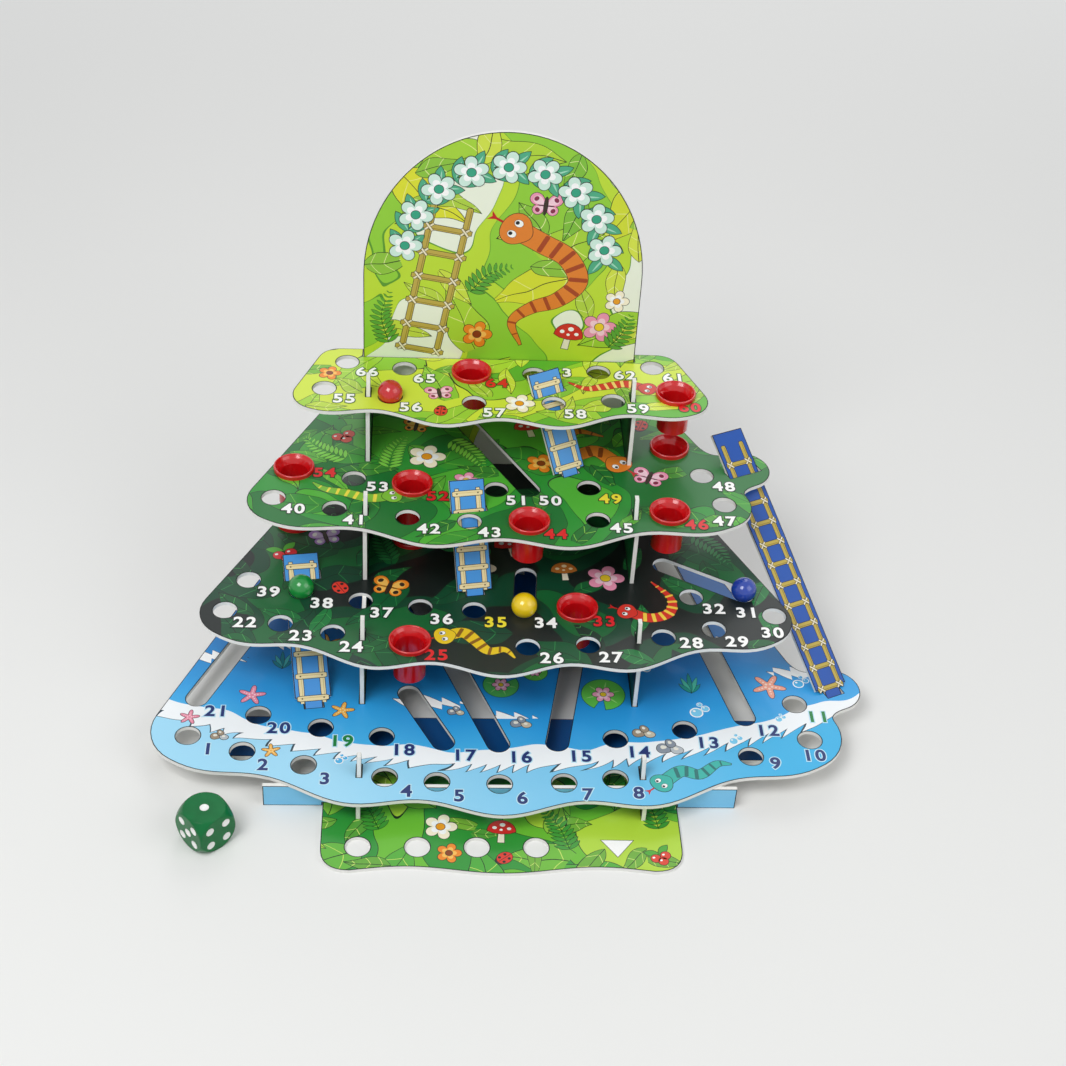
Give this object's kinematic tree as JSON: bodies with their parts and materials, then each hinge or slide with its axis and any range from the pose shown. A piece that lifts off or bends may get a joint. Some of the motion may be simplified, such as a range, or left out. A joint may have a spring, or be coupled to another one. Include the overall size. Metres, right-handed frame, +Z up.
{
  "type": "snakes and ladders board",
  "caption": "Stepped card game board: wavy tiers on two slotted side panels, with ball holes, drop funnels, rolling slots, slot-in ladders, a header panel, balls and a die.",
  "frame": {"origin": "middle of the footprint, on the table under the board", "axes": "+Z up, +X to the players' right, players sit at -Y facing +Y"},
  "size_m": [0.356, 0.266, 0.251],
  "materials": {
    "white_card": "satin printed paper on grey board",
    "print_start": "satin printed paper on grey board",
    "print_water": "satin printed paper on grey board",
    "print_dark_jungle": "satin printed paper on grey board",
    "print_jungle": "satin printed paper on grey board",
    "print_leaves": "satin printed paper on grey board",
    "print_ladder": "satin printed paper on grey board",
    "funnel_red": "moulded, high gloss",
    "red_ball": "moulded, high gloss",
    "green_ball": "moulded, high gloss",
    "yellow_ball": "moulded, high gloss",
    "blue_ball": "moulded, high gloss",
    "die_green": "moulded, high gloss"
  },
  "bodies": {
    "board": {"start_board": "print_start", "front_brace": "print_water", "left_side_panel": "white_card", "right_side_panel": "white_card", "tier_1_board": "print_water", "tier_2_board": "print_dark_jungle", "tier_3_board": "print_jungle", "tier_4_board": "print_leaves", "funnel_25": "funnel_red", "funnel_33": "funnel_red", "funnel_44": "funnel_red", "funnel_46": "funnel_red", "funnel_52_upper": "funnel_red", "funnel_52_lower": "funnel_red", "funnel_54_upper": "funnel_red", "funnel_54_lower": "funnel_red", "funnel_60_upper": "funnel_red", "funnel_60_middle": "funnel_red", "funnel_60_lower": "funnel_red", "funnel_64": "funnel_red"},
    "ladder_11_to_48": {"ladder_11_to_48": "print_ladder"},
    "ladder_19_to_38": {"ladder_19_to_38": "print_ladder"},
    "ladder_35_to_51": {"ladder_35_to_51": "print_ladder"},
    "ladder_49_to_63": {"ladder_49_to_63": "print_ladder"},
    "yellow_ball": {"yellow_ball": "yellow_ball"},
    "blue_ball": {"blue_ball": "blue_ball"},
    "red_ball": {"red_ball": "red_ball"},
    "green_ball": {"green_ball": "green_ball"},
    "header_panel": {"header_panel": "print_leaves"},
    "die": {"die": "die_green"}
  },
  "joints": [
    {"name": "ladder_11_to_48_pull", "type": "slide", "parent": "board", "child": "ladder_11_to_48", "axis": [-0.3456, 0.757, 0.5546], "range_m": [0, 0.033]},
    {"name": "ladder_19_to_38_pull", "type": "slide", "parent": "board", "child": "ladder_19_to_38", "axis": [-0.1185, 0.8514, 0.511], "range_m": [0, 0.028]},
    {"name": "ladder_35_to_51_pull", "type": "slide", "parent": "board", "child": "ladder_35_to_51", "axis": [-0.0944, 0.5731, 0.814], "range_m": [0, 0.045]},
    {"name": "ladder_49_to_63_pull", "type": "slide", "parent": "board", "child": "ladder_49_to_63", "axis": [-0.2773, 0.536, 0.7973], "range_m": [0, 0.028]},
    {"name": "yellow_ball_roll", "type": "slide", "parent": "board", "child": "yellow_ball", "axis": [0.0711, 0.9975, 0], "range_m": [0, 0.028]},
    {"name": "blue_ball_roll", "type": "slide", "parent": "board", "child": "blue_ball", "axis": [-0.8611, 0.5084, 0], "range_m": [0, 0.045]},
    {"name": "red_ball_lift", "type": "slide", "parent": "board", "child": "red_ball", "axis": [0, 0, 1], "range_m": [0, 0.04]},
    {"name": "green_ball_lift", "type": "slide", "parent": "board", "child": "green_ball", "axis": [0, 0, 1], "range_m": [0, 0.04]},
    {"name": "header_lift", "type": "slide", "parent": "board", "child": "header_panel", "axis": [0, 0, 1], "range_m": [0, 0.06]},
    {"name": "die_lift", "type": "slide", "parent": "board", "child": "die", "axis": [0, 0, 1], "range_m": [0, 0.04]}
  ]
}
